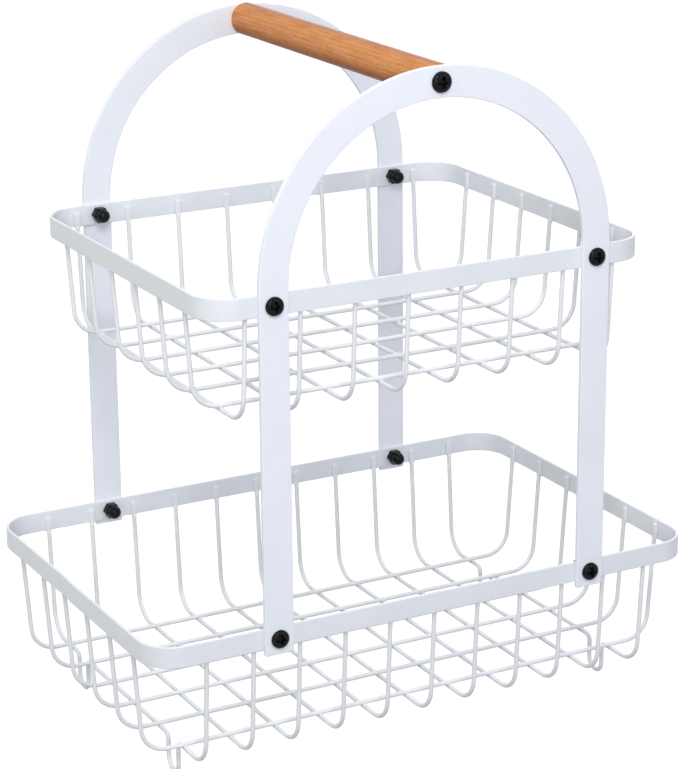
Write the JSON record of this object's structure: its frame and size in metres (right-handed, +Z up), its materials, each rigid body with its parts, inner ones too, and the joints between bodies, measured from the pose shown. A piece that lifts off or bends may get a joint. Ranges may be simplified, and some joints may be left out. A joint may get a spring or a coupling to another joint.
{
  "type": "tiered wire basket",
  "caption": "Free-standing tiered wire basket: a small welded wire basket hangs above a larger one between two flat steel arches joined by a round wooden handle.",
  "frame": {"origin": "on the floor, under the middle of the basket", "axes": "+Z up, +X along the long sides, +Y from the front arch to the rear arch"},
  "size_m": [0.4, 0.278, 0.4555],
  "materials": {
    "bar_coat": "satin white powder coat on flat steel",
    "wire_coat": "satin white powder coat on round wire",
    "wood": "warm brown wood, fine grain along the dowel, light satin lacquer",
    "black_hardware": "gloss black screws and cap nuts"
  },
  "bodies": {
    "root": {"cap_nuts": "black_hardware", "foot_wire_1": "wire_coat", "foot_wire_2": "wire_coat", "front_arch": "bar_coat", "handle": "wood", "handle_screws": "black_hardware", "leg_screws": "black_hardware", "lower_cross_wire_1": "wire_coat", "lower_cross_wire_2": "wire_coat", "lower_cross_wire_3": "wire_coat", "lower_cross_wire_4": "wire_coat", "lower_cross_wire_5": "wire_coat", "lower_cross_wire_6": "wire_coat", "lower_cross_wire_7": "wire_coat", "lower_cross_wire_8": "wire_coat", "lower_cross_wire_9": "wire_coat", "lower_long_wire_1": "wire_coat", "lower_long_wire_2": "wire_coat", "lower_long_wire_3": "wire_coat", "lower_long_wire_4": "wire_coat", "lower_long_wire_5": "wire_coat", "lower_long_wire_6": "wire_coat", "lower_rim": "bar_coat", "rear_arch": "bar_coat", "upper_cross_wire_1": "wire_coat", "upper_cross_wire_2": "wire_coat", "upper_cross_wire_3": "wire_coat", "upper_cross_wire_4": "wire_coat", "upper_cross_wire_5": "wire_coat", "upper_cross_wire_6": "wire_coat", "upper_cross_wire_7": "wire_coat", "upper_cross_wire_8": "wire_coat", "upper_long_wire_1": "wire_coat", "upper_long_wire_2": "wire_coat", "upper_long_wire_3": "wire_coat", "upper_long_wire_4": "wire_coat", "upper_long_wire_5": "wire_coat", "upper_long_wire_6": "wire_coat", "upper_rim": "bar_coat"}
  },
  "joints": []
}
